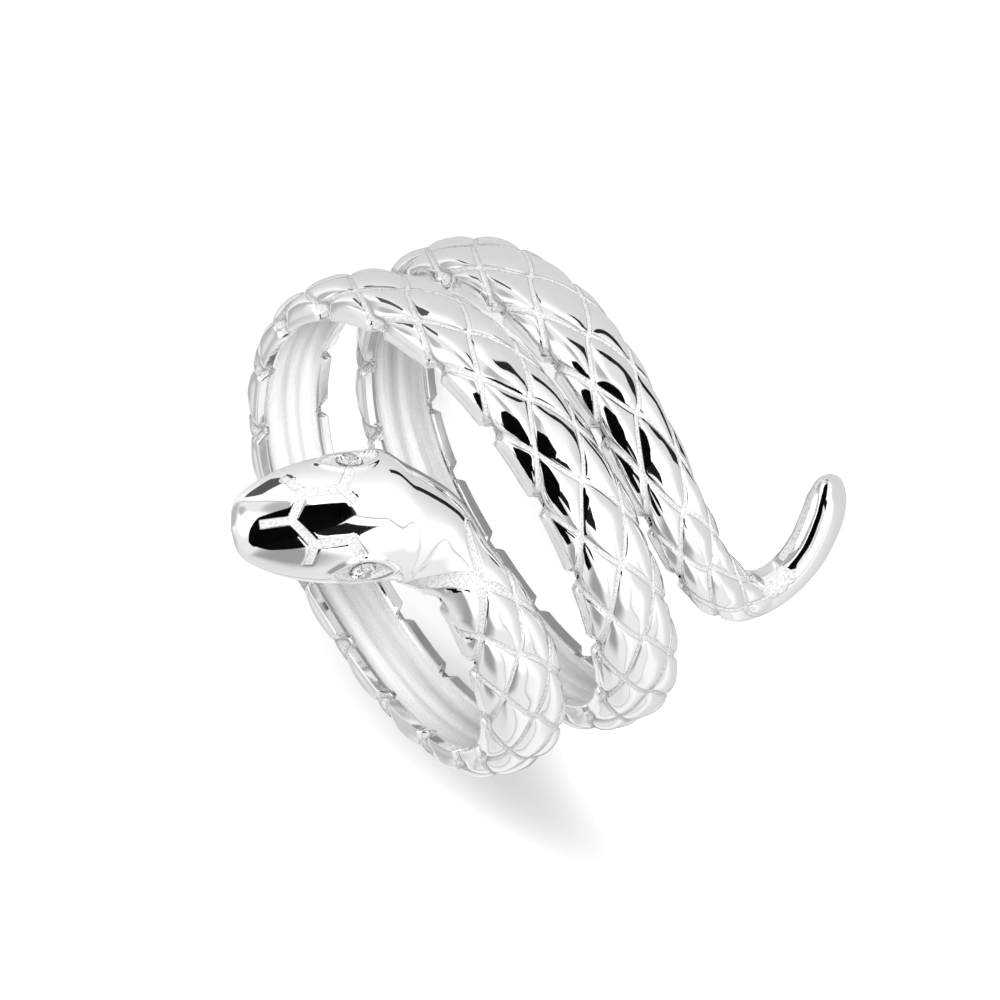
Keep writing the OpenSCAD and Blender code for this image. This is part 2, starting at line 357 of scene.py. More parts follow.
# columns: name, brightness, then the corners as millimetres across and up
CARDS = (
    ("card_front", 0.001,
     (-11, 75), (12, 75), (22, 45), (25, 14), (18, -5), (4, -19), (-8, -12), (-11, 0)),
    ("card_side", 0.003, (-30, 60), (-11, 64), (-11, 14), (-30, 24)),
    ("card_left", 0.01, (-33, 5), (-10.9, 11), (-10.9, -4), (-24, -7)),
)
# Strips on the floor beside the ring, which its polish reflects
# columns: name, brightness, then the corners as x and y in millimetres
FLOOR_STRIPS = (
    ("strip_near", 0.02, (6, -9), (9, -10), (25, 3), (23, 5)),
    ("strip_far", 0.1, (10, 27), (26, 23), (60, 60), (30, 80)),
)
STRIP_LEVEL = 0.0003

# Oval card above the floor behind the ring, whose soft rim deepens the ring's shadow: middle, half sizes
SHADE_MIDDLE = (-0.022, -0.0014, 0.002)
SHADE_REACH = (0.0062, 0.0145)
SHADE_FADE = (0.05, 1)

# Floor, whose mirror image in the silver has painted shade near the ring and brightens between two
# distances from the ring
FLOOR_REACH = 3
FLOOR_SQUARES = 8
FLOOR_ROUGHNESS = 0.9
MIRROR_SHADE_FADE = (0.01, 0.05)
KEY_PLACE = (0.5, -0.155, 0.31)
WHITE = (1, 1, 1, 1)
BLACK = (0, 0, 0, 1)

# What all colour settings share
COLOUR = {"size": 3, "min": 0, "max": 1, "subtype": "COLOR"}


class SnakeRingBand(bpy.types.PropertyGroup):
    """Sizes of the band"""

    finger_diameter: FloatProperty(
        name="Finger diameter", description="Diameter of the finger hole",
        default=0.017, unit="LENGTH")
    width: FloatProperty(
        name="Band width", description="Width of the band", default=0.0032, unit="LENGTH")
    thickness: FloatProperty(
        name="Band thickness", description="Thickness of the band at its crown",
        default=0.00125, unit="LENGTH")
    groove_depth: FloatProperty(
        name="Groove depth", description="Depth of the grooves between the scales",
        default=0.00006, unit="LENGTH")
    notch_depth: FloatProperty(
        name="Notch depth", description="Depth of the notches in the rim",
        default=0.0004, unit="LENGTH")
    swell: FloatProperty(
        name="Scale swell", description="How far the middle of a scale stands proud",
        default=0.00014, unit="LENGTH")
    channel_depth: FloatProperty(
        name="Channel depth", description="Depth of the channel inside the band",
        default=0.00032, unit="LENGTH")


class SnakeRingMetal(bpy.types.PropertyGroup):
    """Finish of the silver"""

    silver: FloatVectorProperty(
        name="Silver", description="Colour of the polished silver",
        default=(0.94, 0.94, 0.935), **COLOUR)
    frosted: FloatVectorProperty(
        name="Frosted silver", description="Colour of the matte grooves",
        default=(0.57, 0.58, 0.575), **COLOUR)
    hollow: FloatVectorProperty(
        name="Hollow", description="Colour of the satin hollow back",
        default=(0.86, 0.87, 0.865), **COLOUR)
    polish: FloatProperty(
        name="Polish", description="Roughness of the polished scales", default=0.05)
    frost: FloatProperty(
        name="Frost", description="Roughness of the matte grooves", default=0.42)
    satin: FloatProperty(
        name="Satin", description="Roughness of the hollow back", default=0.3)


class SnakeRingStone(bpy.types.PropertyGroup):
    """Colour of the eye stones"""

    tint: FloatVectorProperty(
        name="Stone tint", description="Colour of the eye stones",
        default=(0.97, 0.98, 1), **COLOUR)


class SnakeRingStudio(bpy.types.PropertyGroup):
    """Light and floor"""

    floor: FloatVectorProperty(
        name="Floor", description="Colour of the floor",
        default=(0.9, 0.9, 0.9), **COLOUR)
    # Painted shade: the floor by the ring is painted darker where the silver mirrors it
    mirrored_shade_near: FloatProperty(
        name="Mirrored floor nearby", default=0.6,
        description="How bright the floor by the ring looks in the silver")
    mirrored_far: FloatProperty(
        name="Mirrored floor far off", default=0.92,
        description="How bright the floor far from the ring looks in the silver")
    glow: FloatProperty(
        name="Floor glow", description="Light that the floor itself gives to the camera", default=0.45)
    sky: FloatProperty(
        name="Sky", description="Strength of the even light all round", default=0.5)
    key_size: FloatProperty(
        name="Key size", description="Width of the key lamp", default=0.17, unit="LENGTH")
    key_power: FloatProperty(
        name="Key power", description="Power of the key lamp in watts", default=5.6)


def unit(v):
    """Vectors of length one."""
    return v / np.linalg.norm(v, axis=-1, keepdims=True)


def outward(turn):
    """Direction away from the finger at a turn."""
    a = math.radians(turn)
    return np.array((math.cos(a), math.sin(a), 0))


def onward(turn):
    """Direction round the finger at a turn."""
    a = math.radians(turn)
    return np.array((-math.sin(a), math.cos(a), 0))


def blend(p0, p1, p2, p3, t):
    """A smooth curve through four neighbours, at the share t between the middle two."""
    return 0.5 * (
        2 * p1 + (p2 - p0) * t + (2 * p0 - 5 * p1 + 4 * p2 - p3) * t**2
        + (3 * p1 - p0 - 3 * p2 + p3) * t**3)


def coil_level(turn):
    """Level of the coils at a turn."""
    first, second = COIL_COURSE[0][0], COIL_COURSE[1][0]
    place = (turn - first) / (second - first)
    i = int(place)
    levels = [row[1] for row in COIL_COURSE[i - 1:i + 3]]
    return blend(*levels, place - i)


def swing(start, end, share):
    """Direction between two others by a share of the angle between them."""
    whole = math.acos(start @ end)
    return (start * math.sin((1 - share) * whole) + end * math.sin(share * whole)) / math.sin(whole)


class HeadFrame:
    """Directions of the head: up out of it, back towards the neck and to the snake's right."""

    def __init__(self, finger_r):
        yaw = math.radians(HEAD_YAW)
        self.up = outward(HEAD_UP)
        self.back = FINGER_AXIS * math.cos(yaw) + onward(HEAD_UP) * math.sin(yaw)
        self.side = np.cross(self.up, self.back)
        self.nose = self.up * finger_r + onward(HEAD_UP) * HEAD_SHIFT + FINGER_AXIS * NOSE_LEVEL


def snake_rows(band, finger_r):
    """Rows of the snake: centre, side, up, half width, height, widest level, lowest level, fullness."""
    head = HeadFrame(finger_r)
    rows = [
        (*(head.nose + head.back * back), *head.side, *head.up, half, height, widest, lowest, HEAD_FULLNESS)
        for back, half, height, widest, lowest in HEAD_ROWS]
    half_width = band.width / MM / 2
    thickness = band.thickness / MM
    coil = [(turn, coil_level(turn), half_width, thickness, COIL_WIDEST, COIL_FULLNESS)
            for turn in COIL_TURNS]
    course = [*NECK_ROWS, *coil, *TAIL_ROWS]
    slopes = []
    for i in range(len(course)):
        before, after = course[max(i - 1, 0)], course[min(i + 1, len(course) - 1)]
        run = math.radians(after[0] - before[0]) * finger_r
        slopes.append(math.atan2(after[1] - before[1], run) if i else math.radians(NECK_SLOPE))

    def band_side(i):
        return FINGER_AXIS * math.cos(slopes[i]) - onward(course[i][0]) * math.sin(slopes[i])

    corner = head.nose + head.back * CORNER_BACK - head.side * CORNER_SIDE
    neck_up = outward(course[0][0])
    for share, half, height, widest, lowest, fullness in BEND_ROWS:
        side = swing(head.side, band_side(0), share)
        up = swing(head.up, neck_up, share)
        centre = corner + side * (half + CORNER_ROUND)
        rows.append((*centre, *side, *up, half, height, widest, lowest, fullness))
    for i, (turn, level, half, height, widest, fullness) in enumerate(course):
        lowest = min(SOLE_LEVEL + SOLE_RISE * max(widest - COIL_WIDEST, 0), widest - LEAST_FLANK)
        centre = outward(turn) * finger_r + FINGER_AXIS * level
        rows.append((*centre, *band_side(i), *outward(turn), half, height, widest, lowest, fullness))
    return np.array(rows)


def between_rows(rows, places):
    """Smooth rows at any places between the given ones."""
    first, last = 2 * rows[0] - rows[1], 2 * rows[-1] - rows[-2]
    padded = np.vstack((first, rows, last, last))
    i = np.minimum(np.floor(places).astype(int), len(rows) - 2)
    t = (places - i)[:, None]
    return blend(padded[i], padded[i + 1], padded[i + 2], padded[i + 3], t)


def soft_step(low, high, x):
    """0 below low, 1 above high and a smooth rise between."""
    t = np.clip((x - low) / (high - low), 0, 1)
    return t * t * (3 - 2 * t)


def soft_least(a, b, blend_width):
    """The smaller of two distances, rounded where they are nearly the same."""
    h = np.clip(0.5 + 0.5 * (b - a) / blend_width, 0, 1)
    return b + (a - b) * h - blend_width * h * (1 - h)


def hill(x, rise_start, rise_end, fall_start, fall_end):
    """A smooth rise from 0 to 1, and the fall back to 0."""
    return soft_step(rise_start, rise_end, x) * (1 - soft_step(fall_start, fall_end, x))


def jaw_drop(places, lines):
    """How far the back of the head sinks towards the groove behind the corner of the jaw."""
    return JAW_DROP * hill(places, *JAW_DROP_ROWS)[:, None] * hill(lines, *JAW_DROP_LINES)[None]


def across_angle(lines):
    """Angle on a section, in radians, at places across in scale lines."""
    return np.radians(90 + ACROSS_ANGLE * lines + ACROSS_GROWTH * lines**3)


def rounded(rows, angle):
    """Flat coordinates on the rounded upper part of each section."""
    half, height, widest, fullness = (rows[:, k, None] for k in (9, 10, 11, 13))
    power = 2 / fullness
    width = half * np.sign(-np.cos(angle)) * np.abs(np.cos(angle))**power
    level = widest + (height - widest) * np.abs(np.sin(angle))**power
    return width, level


def underside(rows, hollow, depth):
    """Flat coordinates below the widest level, from the right rim to the left one."""
    half, widest, lowest = (rows[:, k, None] for k in (9, 11, 12))
    level = widest - (widest - lowest) * np.cbrt(1 - np.abs(UNDERSIDE)**3)
    wall = np.clip((LAND_EDGE - np.abs(UNDERSIDE)) / (LAND_EDGE - CHANNEL_EDGE), 0, 1)
    ridges = RIDGE_HEIGHT * np.cos(UNDERSIDE * RIDGE_WAVES) * (wall >= 1)
    channel = CHANNEL_LIP + (depth - CHANNEL_LIP) * wall + ridges
    in_channel = (np.abs(UNDERSIDE) <= LAND_EDGE)[None] & (hollow > 0)
    raised = level + (np.maximum(channel[None], level) - level) * hollow
    return half * UNDERSIDE, np.where(in_channel, raised, level)


def in_space(rows, width, level):
    """Points in the ring's frame from flat coordinates on each row."""
    side = unit(rows[:, 3:6])
    lean = rows[:, 6:9]
    up = unit(lean - side * (lean * side).sum(1, keepdims=True))
    return rows[:, None, 0:3] + side[:, None] * width[..., None] + up[:, None] * level[..., None]


def surface_normals(points):
    """Outward normals of a grid of points that is closed across."""
    along = np.gradient(points, axis=0)
    across = np.roll(points, -1, axis=1) - np.roll(points, 1, axis=1)
    return unit(np.cross(across, along) + LEAST_NORMAL)


def line_distances(scales, lines, along_mm, across_mm):
    """Distances in millimetres to the nearest line of each of the two sets of scale lines."""
    slant = np.sqrt(1 / along_mm**2 + 0.25 / across_mm**2)
    # The first falling line swings round to the corner of the jaw
    swung = JAW_SWING * (1 - soft_step(0, 1, scales))[:, None] * (lines < 0)[None]
    found = []
    for sign in (1, -1):
        turned = lines[None] / 2 * (1 - swung * (sign < 0))
        count = scales[:, None] + sign * turned
        nearest = np.maximum(np.round(count), 0)
        found.append(np.abs(count - nearest) / slant)
    return found


def scale_relief(band, scales, lines, along_mm, across_mm):
    """Rise of the crown for the scales and the distance to the edge of the grooves."""
    first, second = line_distances(scales, lines, along_mm, across_mm)
    rim = np.abs(lines)[None] / CROWN_REACH
    collar = 1 - soft_step(*COLLAR_END, scales)[:, None]
    nearest = soft_least(first, second, CROSSING_ROUND + RIM_ROUND * rim**4)
    edge = nearest - GROOVE_HALF_WIDTH - COLLAR_FLARE * collar - RIM_FLARE * rim**3
    edge = edge + (1 - soft_step(*GROOVES_START, scales))[:, None]
    fade = 1 - soft_step(*RELIEF_END, scales)[:, None]
    sunk = (1 - soft_step(*GROOVE_WALL, edge)) * band.groove_depth / MM
    domes = [1 - (1 - np.clip(off / SCALE_HALF_SPACING, 0, 1))**2 for off in (first, second)]
    after_collar = soft_step(*SWELL_START, scales)[:, None]
    swell = band.swell / MM * domes[0] * domes[1] * after_collar
    beyond = soft_step(CREASE_LINE - CREASE_BLUR, CREASE_LINE + CREASE_BLUR, np.abs(lines))[None]
    facet = beyond * FACET_DROP * after_collar
    crease = np.abs(np.abs(lines) - CREASE_LINE)[None] * across_mm + CREASE_CLEAR
    edge = np.where(after_collar > 0.5, np.minimum(edge, crease), edge)
    return (swell - sunk - facet) * fade, np.where(fade > LEAST_RELIEF, edge, CLEAR_EDGE)


def rough_patch_distance(scales, lines):
    """Distance to the edge of the rough patch where the scales end before the tail."""
    along = (scales[:, None] - PATCH_SCALE) * PATCH_SCALE_LENGTH
    across = (lines[None] - PATCH_LINE) * PATCH_LINE_WIDTH
    wobble = PATCH_WOBBLE * np.sin(PATCH_WAVES_ALONG * along) * np.cos(PATCH_WAVES_ACROSS * across + 1)
    return (np.hypot(along / PATCH_HALF_LENGTH, across / PATCH_HALF_WIDTH) - 1) / 2 + wobble


def notch_mask(scales, along_mm):
    """1 in the middle of each rim notch and 0 between them."""
    off = np.abs(scales - np.round(scales)) * along_mm
    inside = (scales > FIRST_NOTCH) & (scales < LAST_SCALE)
    return (1 - soft_step(NOTCH_FLAT, NOTCH_REACH, off)) * inside


def engraving_distance(back, side):
    """Distance to the nearest engraved line's edge, for places on the head."""
    found = np.full(back.shape, FAR_EDGE)
    for x0, y0, x1, y1 in ENGRAVED_LINES:
        reach = math.hypot(x1 - x0, y1 - y0)
        ux, uy = (x1 - x0) / reach, (y1 - y0) / reach
        dx, dy = back - (x0 + x1) / 2, side - (y0 + y1) / 2
        run = dx * ux + dy * uy
        off = dy * ux - dx * uy
        ends = np.abs(run) - reach / 2 - ENGRAVED_WIDTH / 3
        found = np.minimum(found, np.maximum(np.abs(off) - ENGRAVED_WIDTH / 2, ends))
    return found


class EyeFrame:
    """Frame of an eye: origin on the head, along it, across it and out of it."""

    def __init__(self, head, hand):
        lift = math.radians(EYE_LIFT)
        middle = head.back * EYE_BACK + head.side * hand * EYE_SIDE + head.up * EYE_LEVEL
        self.origin = head.nose + middle
        self.out = head.side * hand * math.cos(lift) + head.up * math.sin(lift)
        self.along = head.back
        self.across = np.cross(self.out, self.along)

    def coordinates(self, points):
        """Places of points in this frame."""
        d = points - self.origin
        return d @ self.along, d @ self.across, d @ self.out


def almond_distance(along, across):
    """Distance to the edge of an eye's almond outline, negative inside it."""
    lid_r = ((EYE_LENGTH / 2)**2 + (EYE_WIDTH / 2)**2) / EYE_WIDTH
    shift = lid_r - EYE_WIDTH / 2
    upper = np.hypot(along, across + shift) - lid_r
    lower = np.hypot(along, across - shift) - lid_r
    return np.maximum(upper, lower)


def carve_head(points, normals, head):
    """Cuts the engraved lines and the eyes into the head and returns the distance to their edges."""
    d = points - head.nose
    back, side, up = d @ head.back, d @ head.side, d @ head.up
    on_top = (up > ENGRAVED_LEAST_LEVEL) & (normals @ head.up > ENGRAVED_LEAST_FACING)
    edge = np.where(on_top, engraving_distance(back, side), FAR_EDGE)
    sink = ENGRAVED_DEPTH * (1 - soft_step(-ENGRAVED_WALL, ENGRAVED_WALL, edge))
    points = points - normals * sink[..., None]
    for hand in (1, -1):
        eye = EyeFrame(head, hand)
        along, across, out = eye.coordinates(points)
        near = out > -EYE_DEEPEST
        almond = np.where(near, almond_distance(along, across), FAR_EDGE)
        lid = LID_RISE * np.exp(-((almond - LID_OUT) / LID_WIDTH)**2)
        points = points + normals * (lid * near)[..., None]
        along, across, out = eye.coordinates(points)
        seat = SEAT_SLOPE * np.clip(SEAT_RADIUS - np.hypot(along, across), 0, None)
        sink = (out + EYE_RECESS + seat) * (1 - soft_step(*EYE_WALL, almond))
        points = points - eye.out * (sink * (almond < EYE_CUT_REACH))[..., None]
        edge = np.minimum(edge, almond)
    return points, edge


def rim_mask(lines, left, right, under, count):
    """1 on the rims of a section, which the notches draw in, and 0 on its middle."""
    mask = np.zeros(count)
    mask[:lines.size] = soft_step(*RIM_LINES, np.abs(lines))
    mask[left] = 1
    mask[right] = 1
    mask[under] = soft_step(*RIM_SHARES, np.abs(UNDERSIDE))
    return mask


def build_grid(band, rows, places, scales, finer, finger_r, head):
    """Skin at the given places: points, distance to the frost, satin share, place across and along."""
    at = between_rows(rows, places)
    lines = np.linspace(-CROWN_REACH, CROWN_REACH, 2 * STEPS_ACROSS * finer + 1)
    width, level = rounded(at, across_angle(lines))
    level = level - jaw_drop(places, lines)
    down = (math.pi - across_angle(CROWN_REACH)) * np.linspace(1, 0, FLANK_STEPS + 1)[1:]
    flank_width, flank_level = rounded(at, math.pi - down)
    hollow = hill(places, *CHANNEL_ROWS)[:, None]
    under_width, under_level = underside(at, hollow, band.channel_depth / MM)
    widths = np.concatenate((width, flank_width, under_width, -flank_width[:, ::-1]), 1)
    levels = np.concatenate((level, flank_level, under_level, flank_level[:, ::-1]), 1)
    points = in_space(at, widths, levels)
    count = points.shape[1]
    top = slice(0, lines.size)
    right = slice(top.stop, top.stop + FLANK_STEPS)
    under = slice(right.stop, right.stop + UNDERSIDE.size)
    left = slice(under.stop, count)

    # Distances along and across the crown, for grooves of an even width
    step_mm = np.linalg.norm(np.gradient(points[:, top], axis=0), axis=-1)
    along_mm = step_mm / np.maximum(np.gradient(scales)[:, None], LEAST_SCALE_STEP)
    across_mm = np.linalg.norm(np.gradient(points[:, top], axis=1), axis=-1) / (lines[1] - lines[0])
    relief, edge = scale_relief(band, scales, lines, along_mm, across_mm)

    normals = surface_normals(points)
    middle = lines.size // 2
    normals *= np.sign((normals[:, middle] * at[:, 6:9]).sum(-1).mean())
    points[:, top] += normals[:, top] * relief[..., None]

    # Rim notches: the rim draws in towards the middle of the band
    notch = notch_mask(scales, along_mm[:, middle])
    rims = rim_mask(lines, left, right, under, count)
    draw = notch[:, None] * rims[None] * np.sign(widths) * (band.notch_depth / MM)
    points = points - unit(at[:, 3:6])[:, None] * draw[..., None]

    # The finger hole
    push = np.maximum(finger_r / np.hypot(points[..., 0], points[..., 1]), 1)
    points[..., :2] *= push[..., None]

    edges = np.full(points.shape[:2], CLEAR_EDGE)
    edges[:, top] = np.minimum(edge, rough_patch_distance(scales, lines))
    rim_edge = RIM_EDGE - notch * NOTCH_FROST
    edges[:, left] = rim_edge[:, None]
    edges[:, right] = (rim_edge - TAIL_FROST * soft_step(*TAIL_FROST_START, scales))[:, None]
    satin = np.zeros(points.shape[:2])
    satin[:, under] = (np.abs(UNDERSIDE) <= SATIN_EDGE) * hollow
    if finer > 1:
        points, carved = carve_head(points, normals, head)
        edges[:, top] = np.minimum(edges[:, top], carved[:, top])
    across = np.zeros(points.shape[:2])
    across[:, under] = UNDERSIDE
    along = np.broadcast_to(scales[:, None], points.shape[:2])
    return points, edges, satin, across, along


def lying(points):
    """From the ring's frame in millimetres to its resting place in metres."""
    return (points @ np.array(REST_TURN).T + np.array(REST_SHIFT)) * MM


def lying_direction(v):
    """From a direction in the ring's frame to the one at rest."""
    return REST_TURN @ Vector(v)


def strip_faces(start, count, loops, slants):
    """Triangles between neighbouring loops, cut along the slant of each square."""
    i = np.arange(loops - 1)[:, None]
    j = np.arange(count)[None]
    a, b = start + i * count + j, start + i * count + (j + 1) % count
    c, d = a + count, b + count
    one = np.stack((a, b, np.where(slants, c, d)), -1)
    two = np.stack((np.where(slants, c, a), np.where(slants, b, d), np.where(slants, d, c)), -1)
    return np.concatenate((one.reshape(-1, 3), two.reshape(-1, 3)))


def band_slants(scales, crown_count, loop_count):
    """Whether each square is cut along the falling line."""
    lines = np.linspace(-CROWN_REACH, CROWN_REACH, crown_count)
    scale = (scales[:-1] + scales[1:])[:, None] / 2
    line = (lines[:-1] + lines[1:])[None] / 2
    rise, fall = scale + line / 2, scale - line / 2
    slants = np.full((len(scales) - 1, loop_count), False)
    slants[:, :crown_count - 1] = np.abs(rise - np.round(rise)) < np.abs(fall - np.round(fall))
    return slants


def seam_faces(head_loop, head_count, band_loop, band_count):
    """Triangles between the last, finer loop of the head and the first loop of the band."""
    head_crown = 2 * STEPS_ACROSS * HEAD_FINER + 1
    band_crown = 2 * STEPS_ACROSS + 1
    found = []
    for j in range(band_crown - 1):
        f = head_loop + j * HEAD_FINER
        b = band_loop + j
        found += [(f, f + 1, b), (f + 1, b + 1, b), (f + 1, f + 2, b + 1)]
    for j in range(band_count - band_crown + 1):
        f = head_loop + head_crown - 1 + j
        b = band_loop + band_crown - 1 + j
        f_next = f + 1 if head_crown + j < head_count else head_loop
        b_next = b + 1 if band_crown + j < band_count else band_loop
        found += [(f, f_next, b_next), (f, b_next, b)]
    return np.array(found)


def snake_mesh(band):
    """The whole snake as one closed mesh: points, triangles and the values kept for each point."""
    finger_r = band.finger_diameter / MM / 2
    rows = snake_rows(band, finger_r)
    head = HeadFrame(finger_r)
    scale_of, row_of = zip(*SCALE_COLUMNS)

    head_places = np.arange(HEAD_STEP, HEAD_ROW_END, HEAD_STEP)
    head_scales = np.interp(head_places, row_of, scale_of)
    first = math.ceil(np.interp(HEAD_ROW_END + SEAM_STEP, row_of, scale_of) * STEPS_ALONG)
    last = math.floor(np.interp(TIP_ROW, row_of, scale_of) * STEPS_ALONG)
    scales = np.arange(first, last + 1) / STEPS_ALONG
    places = np.interp(scales, scale_of, row_of)

    head_points, *head_values = build_grid(
        band, rows, head_places, head_scales, HEAD_FINER, finger_r, head)
    band_points, *band_values = build_grid(band, rows, places, scales, 1, finger_r, head)
    points = np.concatenate((head_points.reshape(-1, 3), band_points.reshape(-1, 3)))
    ends = [head_points[0].mean(0)], [band_points[-1].mean(0)]
    head_loops, head_count = head_points.shape[:2]
    band_loops, band_count = band_points.shape[:2]
    last_head = (head_loops - 1) * head_count
    start = head_loops * head_count
    tail = start + (band_loops - 1) * band_count
    nose, tip = len(points), len(points) + 1

    straight = np.full((head_loops - 1, head_count), False)
    faces = [
        strip_faces(0, head_count, head_loops, straight),
        strip_faces(start, band_count, band_loops, band_slants(scales, 2 * STEPS_ACROSS + 1, band_count)),
        seam_faces(last_head, head_count, start, band_count),
        np.array([(nose, (j + 1) % head_count, j) for j in range(head_count)]),
        np.array([(tip, tail + j, tail + (j + 1) % band_count) for j in range(band_count)]),
    ]
    # The middle points of the nose and the tip are polished
    values = [np.concatenate((of_head.ravel(), of_band.ravel(), (of_end, of_end)))
              for of_head, of_band, of_end in zip(head_values, band_values, (CLEAR_EDGE, 0, 0, 0))]
    # The triangles above look inward, and the other way round they look outward
    return np.concatenate((points, *ends)), np.concatenate(faces)[:, ::-1], values


def add_object(name, data):
    """A new object in the scene."""
    thing = bpy.data.objects.new(name, data)
    bpy.context.scene.collection.objects.link(thing)
    return thing


def mesh_from(name, points, faces):
    """A mesh object from arrays of points in metres and triangles."""
    mesh = bpy.data.meshes.new(name)
    mesh.vertices.add(len(points))
    mesh.vertices.foreach_set("co", points.astype(np.float32).ravel())
    mesh.loops.add(len(faces) * 3)
    mesh.loops.foreach_set("vertex_index", faces.astype(np.int32).ravel())
    mesh.polygons.add(len(faces))
    mesh.polygons.foreach_set("loop_start", np.arange(0, len(faces) * 3, 3, dtype=np.int32))
    mesh.update()
    mesh.validate()
    return add_object(name, mesh)


def store(thing, name, values):
    """Keeps one number for each point of a mesh."""
    made = thing.data.attributes.new(name, "FLOAT", "POINT")
    made.data.foreach_set("value", values.astype(np.float32))


def new_material(name):
    """A material with one plain shader, its node tree and that shader."""
    material = bpy.data.materials.new(name)
    material.use_nodes = True
    tree = material.node_tree
    tree.nodes.clear()
    output = tree.nodes.new("ShaderNodeOutputMaterial")
    shader = tree.nodes.new("ShaderNodeBsdfPrincipled")
    tree.links.new(shader.outputs["BSDF"], output.inputs["Surface"])
    return material, tree, shader


def feed(tree, socket, value):
    """Links a socket to another one or gives it a plain value."""
    if isinstance(value, bpy.types.NodeSocket):
        tree.links.new(value, socket)
    else:
        socket.default_value = value


def math_node(tree, operation, first, second, clamp=False):
    """One sum on two sockets or numbers."""
    node = tree.nodes.new("ShaderNodeMath")
    node.operation = operation
    node.use_clamp = clamp
    feed(tree, node.inputs[0], first)
    feed(tree, node.inputs[1], second)
    return node.outputs["Value"]


def mix_node(tree, kind, factor, a, b):
    """Mix of two numbers or of two colours."""
    node = tree.nodes.new("ShaderNodeMix")
    node.data_type = kind
    for name, value in (("Factor", factor), ("A", a), ("B", b)):
        feed(tree, node.inputs[name], value)
    return node.outputs["Result"]


def noise_node(tree, place, scale, detail):
    """Cloudy noise at a place."""
    node = tree.nodes.new("ShaderNodeTexNoise")
    node.inputs["Scale"].default_value = scale
    node.inputs["Detail"].default_value = detail
    tree.links.new(place, node.inputs["Vector"])
    return node.outputs["Fac"]


def stored_value(tree, name):
    """A number that the mesh keeps for each point."""
    node = tree.nodes.new("ShaderNodeAttribute")
    node.attribute_name = name
    return node.outputs["Fac"]


def distance_node(tree, place):
    """Distance of a place from the origin."""
    node = tree.nodes.new("ShaderNodeVectorMath")
    node.operation = "LENGTH"
    tree.links.new(place, node.inputs[0])
    return node.outputs["Value"]


def map_range(tree, source, low, high, to_low, to_high):
    """A smooth run of one value as another one goes from low to high."""
    node = tree.nodes.new("ShaderNodeMapRange")
    node.interpolation_type = "SMOOTHSTEP"
    tree.links.new(source, node.inputs["Value"])
    limits = ("From Min", low), ("From Max", high), ("To Min", to_low), ("To Max", to_high)
    for name, value in limits:
        node.inputs[name].default_value = value
    return node.outputs["Result"]


def silver_material(metal):
    """Polished silver with frosted grooves, painted shade along their edges and a satin back."""
    material, tree, shader = new_material("cast_silver")
    edge, satin, across, along = (stored_value(tree, name) for name in STORED_VALUES)
    place = tree.nodes.new("ShaderNodeTexCoord").outputs["Object"]
    frost = map_range(tree, edge, -FROST_BLUR, FROST_BLUR, 1, 0)

    # Frosted grooves with a thin dark line of painted shade along their edges
    colour = mix_node(tree, "RGBA", frost, (*metal.silver, 1), (*metal.frosted, 1))
    # Painted shade: a thin dark line on the polish just outside each groove
    line = map_range(tree, edge, *EDGE_SHADE_RANGE, EDGE_SHADE_SHARE, 0)
    line = math_node(tree, "SUBTRACT", line, frost, clamp=True)
    colour = mix_node(tree, "RGBA", line, colour, EDGE_SHADE_COLOUR)

    # Streaks along the hollow back
    course = tree.nodes.new("ShaderNodeCombineXYZ")
    tree.links.new(math_node(tree, "MULTIPLY", across, STREAKS_ACROSS), course.inputs["X"])
    tree.links.new(math_node(tree, "MULTIPLY", along, STREAKS_ALONG), course.inputs["Y"])
    streaks = map_range(tree, noise_node(tree, course.outputs["Vector"], 1, detail=3), *STREAK_RANGE, 0, 1)
    hollow = mix_node(tree, "RGBA", streaks, STREAK_COLOUR, (*metal.hollow, 1))
    colour = mix_node(tree, "RGBA", satin, colour, hollow)

    # Dark specks in the frost
    specks = noise_node(tree, place, SPECK_SCALE, detail=2)
    specks = map_range(tree, specks, *SPECK_RANGE, SPECK_SHARE, 0)
    specks = math_node(tree, "MULTIPLY", specks, frost)
    feed(tree, shader.inputs["Base Color"], mix_node(tree, "RGBA", specks, colour, SPECK_COLOUR))

    rough = mix_node(tree, "FLOAT", frost, metal.polish, metal.frost)
    feed(tree, shader.inputs["Roughness"], mix_node(tree, "FLOAT", satin, rough, metal.satin))
    metallic = mix_node(tree, "FLOAT", frost, 1, FROST_METALLIC)
    feed(tree, shader.inputs["Metallic"], mix_node(tree, "FLOAT", satin, metallic, SATIN_METALLIC))

    # Fine grain where the silver is frosted or satin
    dull = math_node(tree, "MAXIMUM", frost, satin)
    bump = tree.nodes.new("ShaderNodeBump")
    bump.inputs["Distance"].default_value = GRAIN_DEPTH
    bump.inputs["Strength"].default_value = GRAIN_STRENGTH
    grain = math_node(tree, "MULTIPLY", dull, noise_node(tree, place, GRAIN_SCALE, detail=3))
    tree.links.new(grain, bump.inputs["Height"])
    tree.links.new(bump.outputs["Normal"], shader.inputs["Normal"])
    return material


def stone_material(stone):
    """Clear cut stone."""
    material, tree, shader = new_material("clear_stone")
    shader.inputs["Transmission Weight"].default_value = 1
    shader.inputs["IOR"].default_value = STONE_IOR
    shader.inputs["Roughness"].default_value = 0
    place = tree.nodes.new("ShaderNodeTexCoord").outputs["Generated"]
    clouds = noise_node(tree, place, STONE_CLOUD_SCALE, detail=2)
    colour = mix_node(tree, "RGBA", clouds, (*stone.tint, 1), STONE_CLOUD_COLOUR)
    tree.links.new(colour, shader.inputs["Base Color"])
    return material


